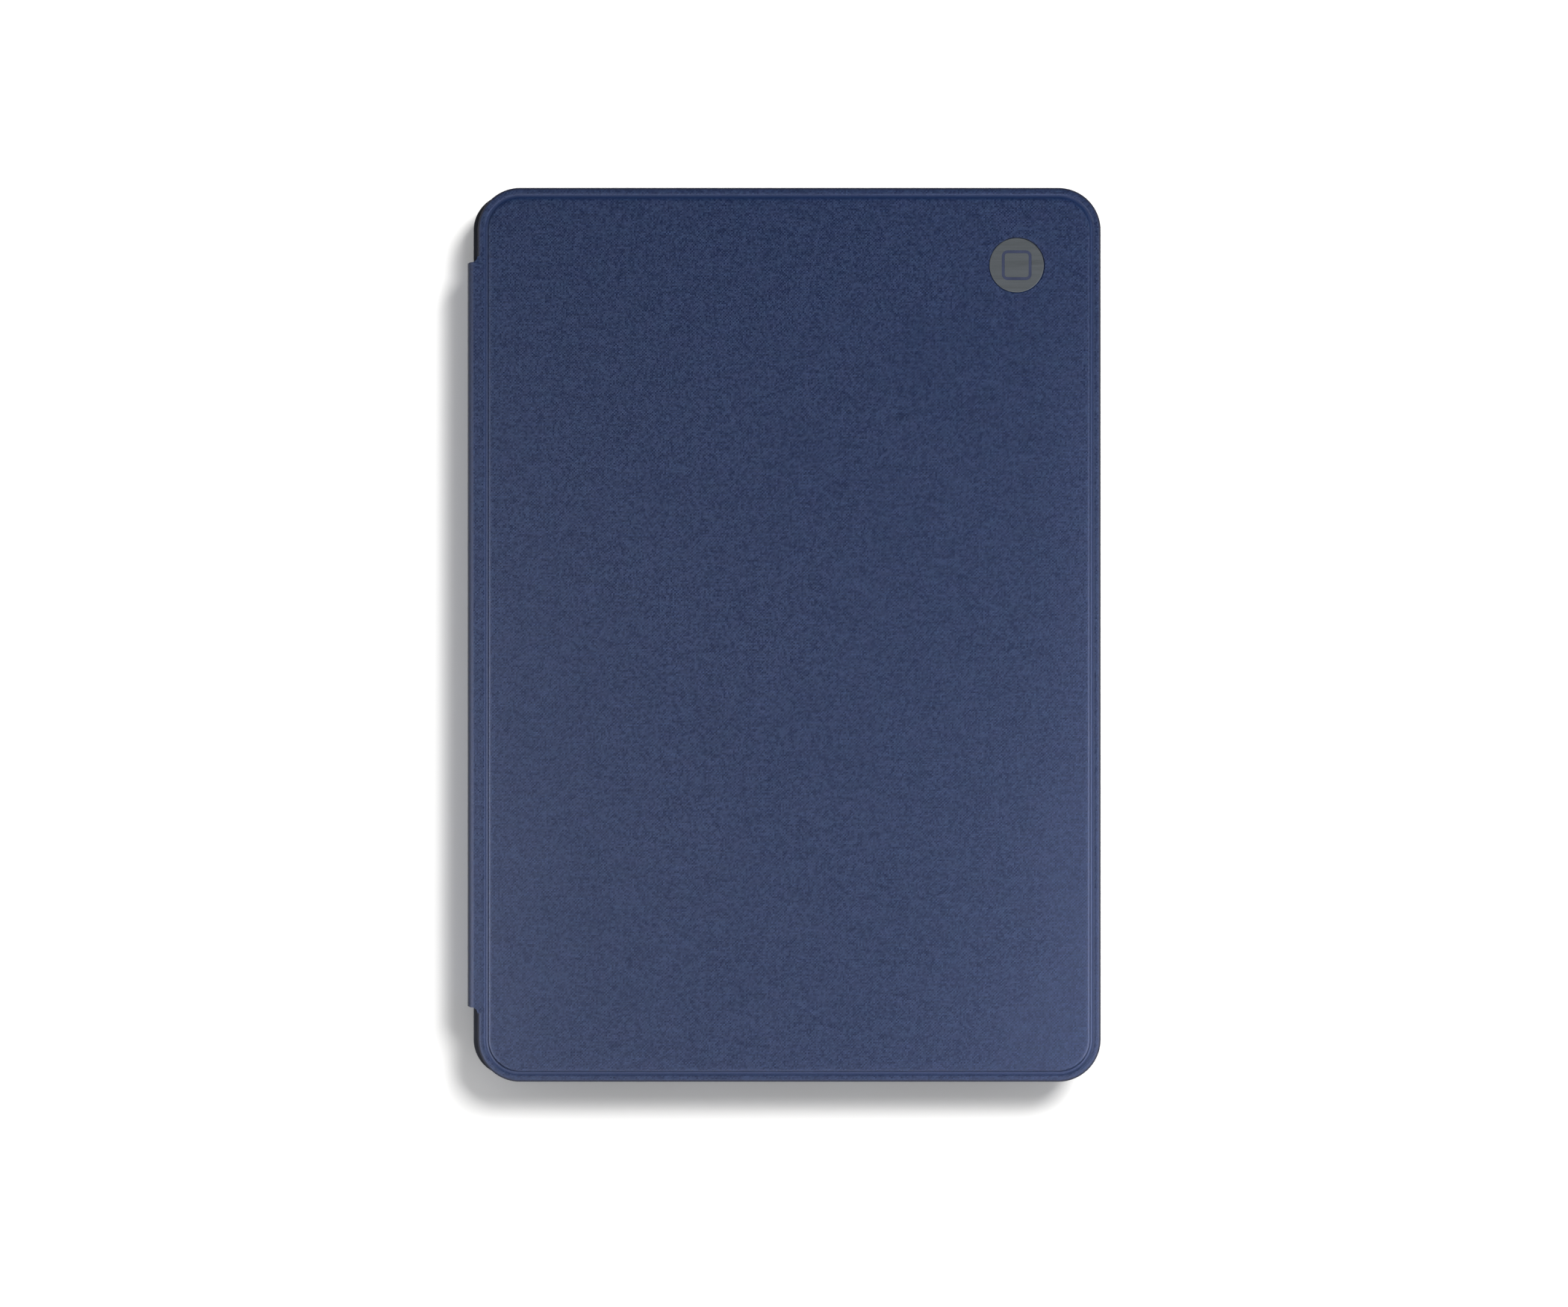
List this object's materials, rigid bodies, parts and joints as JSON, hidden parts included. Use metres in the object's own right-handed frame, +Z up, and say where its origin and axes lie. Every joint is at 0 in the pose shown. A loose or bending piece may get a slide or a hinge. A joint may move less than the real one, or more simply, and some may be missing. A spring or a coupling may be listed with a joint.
{
  "type": "tablet keyboard case",
  "caption": "Folding fabric-covered case for a tablet: moulded tray with a fold-out stand, creased spine and a front cover that carries a keyboard and trackpad.",
  "frame": {"origin": "middle of the underside of the closed case, lying on its back", "axes": "+X from the spine to the free edge, +Y along the spine towards the tablet's top, +Z up through the thickness, from the tray to the front cover"},
  "size_m": [0.1828, 0.258, 0.0205],
  "materials": {
    "navy_fabric": "matte",
    "tray_plastic": "satin",
    "button_rubber": "matte",
    "lining": "matte",
    "deck_plastic": "satin",
    "key_plastic": "satin",
    "trackpad_face": "smooth",
    "stiffener": "matte",
    "badge_metal": "satin",
    "stand_metal": "satin",
    "hinge_steel": "brushed",
    "circuit_board": "satin",
    "battery_foil": "satin",
    "clear_plastic": "glossy"
  },
  "bodies": {
    "tray": {"tray_shell": "tray_plastic", "tray_lining": "lining", "back_skin": "navy_fabric", "hinge_bracket_upper": "hinge_steel", "hinge_bracket_lower": "hinge_steel", "hinge_pin_upper": "hinge_steel", "hinge_pin_lower": "hinge_steel"},
    "spine": {"spine_skin": "navy_fabric", "spine_board": "stiffener", "spine_lining": "lining"},
    "front_cover": {"cover_skin": "navy_fabric", "cover_board": "stiffener", "badge": "badge_metal", "keyboard_housing": "deck_plastic", "keyboard_deck": "deck_plastic", "bumper_frame": "button_rubber", "key_backplate": "hinge_steel", "key_membrane": "clear_plastic", "control_board": "circuit_board", "battery": "battery_foil", "charging_socket": "hinge_steel", "closure_magnet_upper": "hinge_steel", "closure_magnet_lower": "hinge_steel", "status_light": "clear_plastic"},
    "stand": {"stand_plate": "stand_metal", "stand_skin": "navy_fabric", "hinge_leaf_upper": "hinge_steel", "hinge_leaf_lower": "hinge_steel"},
    "volume_rocker": {"volume_rocker": "button_rubber"},
    "sleep_button": {"sleep_button": "button_rubber"},
    "power_switch": {"power_switch": "deck_plastic"},
    "trackpad": {"trackpad": "trackpad_face"},
    "function_row": {"function_row": "key_plastic"},
    "number_row": {"number_row": "key_plastic"},
    "upper_row": {"upper_row": "key_plastic"},
    "home_row": {"home_row": "key_plastic"},
    "key_shift_left": {"key_shift_left": "key_plastic"},
    "key_z": {"key_z": "key_plastic"},
    "key_x": {"key_x": "key_plastic"},
    "key_c": {"key_c": "key_plastic"},
    "key_v": {"key_v": "key_plastic"},
    "key_b": {"key_b": "key_plastic"},
    "key_n": {"key_n": "key_plastic"},
    "key_m": {"key_m": "key_plastic"},
    "key_comma": {"key_comma": "key_plastic"},
    "key_period": {"key_period": "key_plastic"},
    "key_slash": {"key_slash": "key_plastic"},
    "key_shift_right": {"key_shift_right": "key_plastic"},
    "key_fn": {"key_fn": "key_plastic"},
    "key_control": {"key_control": "key_plastic"},
    "key_alt_left": {"key_alt_left": "key_plastic"},
    "key_meta_left": {"key_meta_left": "key_plastic"},
    "key_space": {"key_space": "key_plastic"},
    "key_meta_right": {"key_meta_right": "key_plastic"},
    "key_alt_right": {"key_alt_right": "key_plastic"},
    "key_arrow_left": {"key_arrow_left": "key_plastic"},
    "key_arrow_up": {"key_arrow_up": "key_plastic"},
    "key_arrow_down": {"key_arrow_down": "key_plastic"},
    "key_arrow_right": {"key_arrow_right": "key_plastic"}
  },
  "joints": [
    {"name": "back_crease", "type": "hinge", "parent": "tray", "child": "spine", "pos_m": [-0.09018, 0, 0.0013], "axis": [0, -1, 0], "range_deg": [0, 90]},
    {"name": "cover_crease", "type": "hinge", "parent": "spine", "child": "front_cover", "pos_m": [-0.08947, 0, 0.0193], "axis": [0, -1, 0], "range_deg": [0, 90]},
    {"name": "flap_hinge", "type": "hinge", "parent": "tray", "child": "stand", "pos_m": [0.00198, 0, 0.00165], "axis": [0, 1, 0], "range_deg": [-120, 0]},
    {"name": "trackpad_click", "type": "slide", "parent": "front_cover", "child": "trackpad", "axis": [0, 0, 1], "range_m": [0, 0.0003], "stiffness_N_per_m": 2500, "springref_m": -0.0003},
    {"name": "power_slide", "type": "slide", "parent": "front_cover", "child": "power_switch", "axis": [1, 0, 0], "range_m": [0, 0.003]},
    {"name": "volume_rock", "type": "hinge", "parent": "tray", "child": "volume_rocker", "pos_m": [0.0875, 0.08495, 0.0077], "axis": [0, 0, 1], "range_deg": [-2, 2], "stiffness_Nm_per_rad": 0.05},
    {"name": "sleep_press", "type": "slide", "parent": "tray", "child": "sleep_button", "axis": [0, -1, 0], "range_m": [0, 0.0005], "stiffness_N_per_m": 1500, "springref_m": -0.0002},
    {"name": "function_row_press", "type": "slide", "parent": "front_cover", "child": "function_row", "axis": [0, 0, 1], "range_m": [0, 0.0011], "stiffness_N_per_m": 1500, "springref_m": -0.0005},
    {"name": "number_row_press", "type": "slide", "parent": "front_cover", "child": "number_row", "axis": [0, 0, 1], "range_m": [0, 0.0011], "stiffness_N_per_m": 1500, "springref_m": -0.0005},
    {"name": "upper_row_press", "type": "slide", "parent": "front_cover", "child": "upper_row", "axis": [0, 0, 1], "range_m": [0, 0.0011], "stiffness_N_per_m": 1500, "springref_m": -0.0005},
    {"name": "home_row_press", "type": "slide", "parent": "front_cover", "child": "home_row", "axis": [0, 0, 1], "range_m": [0, 0.0011], "stiffness_N_per_m": 1500, "springref_m": -0.0005},
    {"name": "key_shift_left_press", "type": "slide", "parent": "front_cover", "child": "key_shift_left", "axis": [0, 0, 1], "range_m": [0, 0.0011], "stiffness_N_per_m": 350, "springref_m": -0.0005},
    {"name": "key_z_press", "type": "slide", "parent": "front_cover", "child": "key_z", "axis": [0, 0, 1], "range_m": [0, 0.0011], "stiffness_N_per_m": 350, "springref_m": -0.0005},
    {"name": "key_x_press", "type": "slide", "parent": "front_cover", "child": "key_x", "axis": [0, 0, 1], "range_m": [0, 0.0011], "stiffness_N_per_m": 350, "springref_m": -0.0005},
    {"name": "key_c_press", "type": "slide", "parent": "front_cover", "child": "key_c", "axis": [0, 0, 1], "range_m": [0, 0.0011], "stiffness_N_per_m": 350, "springref_m": -0.0005},
    {"name": "key_v_press", "type": "slide", "parent": "front_cover", "child": "key_v", "axis": [0, 0, 1], "range_m": [0, 0.0011], "stiffness_N_per_m": 350, "springref_m": -0.0005},
    {"name": "key_b_press", "type": "slide", "parent": "front_cover", "child": "key_b", "axis": [0, 0, 1], "range_m": [0, 0.0011], "stiffness_N_per_m": 350, "springref_m": -0.0005},
    {"name": "key_n_press", "type": "slide", "parent": "front_cover", "child": "key_n", "axis": [0, 0, 1], "range_m": [0, 0.0011], "stiffness_N_per_m": 350, "springref_m": -0.0005},
    {"name": "key_m_press", "type": "slide", "parent": "front_cover", "child": "key_m", "axis": [0, 0, 1], "range_m": [0, 0.0011], "stiffness_N_per_m": 350, "springref_m": -0.0005},
    {"name": "key_comma_press", "type": "slide", "parent": "front_cover", "child": "key_comma", "axis": [0, 0, 1], "range_m": [0, 0.0011], "stiffness_N_per_m": 350, "springref_m": -0.0005},
    {"name": "key_period_press", "type": "slide", "parent": "front_cover", "child": "key_period", "axis": [0, 0, 1], "range_m": [0, 0.0011], "stiffness_N_per_m": 350, "springref_m": -0.0005},
    {"name": "key_slash_press", "type": "slide", "parent": "front_cover", "child": "key_slash", "axis": [0, 0, 1], "range_m": [0, 0.0011], "stiffness_N_per_m": 350, "springref_m": -0.0005},
    {"name": "key_shift_right_press", "type": "slide", "parent": "front_cover", "child": "key_shift_right", "axis": [0, 0, 1], "range_m": [0, 0.0011], "stiffness_N_per_m": 350, "springref_m": -0.0005},
    {"name": "key_fn_press", "type": "slide", "parent": "front_cover", "child": "key_fn", "axis": [0, 0, 1], "range_m": [0, 0.0011], "stiffness_N_per_m": 350, "springref_m": -0.0005},
    {"name": "key_control_press", "type": "slide", "parent": "front_cover", "child": "key_control", "axis": [0, 0, 1], "range_m": [0, 0.0011], "stiffness_N_per_m": 350, "springref_m": -0.0005},
    {"name": "key_alt_left_press", "type": "slide", "parent": "front_cover", "child": "key_alt_left", "axis": [0, 0, 1], "range_m": [0, 0.0011], "stiffness_N_per_m": 350, "springref_m": -0.0005},
    {"name": "key_meta_left_press", "type": "slide", "parent": "front_cover", "child": "key_meta_left", "axis": [0, 0, 1], "range_m": [0, 0.0011], "stiffness_N_per_m": 350, "springref_m": -0.0005},
    {"name": "key_space_press", "type": "slide", "parent": "front_cover", "child": "key_space", "axis": [0, 0, 1], "range_m": [0, 0.0011], "stiffness_N_per_m": 350, "springref_m": -0.0005},
    {"name": "key_meta_right_press", "type": "slide", "parent": "front_cover", "child": "key_meta_right", "axis": [0, 0, 1], "range_m": [0, 0.0011], "stiffness_N_per_m": 350, "springref_m": -0.0005},
    {"name": "key_alt_right_press", "type": "slide", "parent": "front_cover", "child": "key_alt_right", "axis": [0, 0, 1], "range_m": [0, 0.0011], "stiffness_N_per_m": 350, "springref_m": -0.0005},
    {"name": "key_arrow_left_press", "type": "slide", "parent": "front_cover", "child": "key_arrow_left", "axis": [0, 0, 1], "range_m": [0, 0.0011], "stiffness_N_per_m": 350, "springref_m": -0.0005},
    {"name": "key_arrow_up_press", "type": "slide", "parent": "front_cover", "child": "key_arrow_up", "axis": [0, 0, 1], "range_m": [0, 0.0011], "stiffness_N_per_m": 350, "springref_m": -0.0005},
    {"name": "key_arrow_down_press", "type": "slide", "parent": "front_cover", "child": "key_arrow_down", "axis": [0, 0, 1], "range_m": [0, 0.0011], "stiffness_N_per_m": 350, "springref_m": -0.0005},
    {"name": "key_arrow_right_press", "type": "slide", "parent": "front_cover", "child": "key_arrow_right", "axis": [0, 0, 1], "range_m": [0, 0.0011], "stiffness_N_per_m": 350, "springref_m": -0.0005}
  ]
}
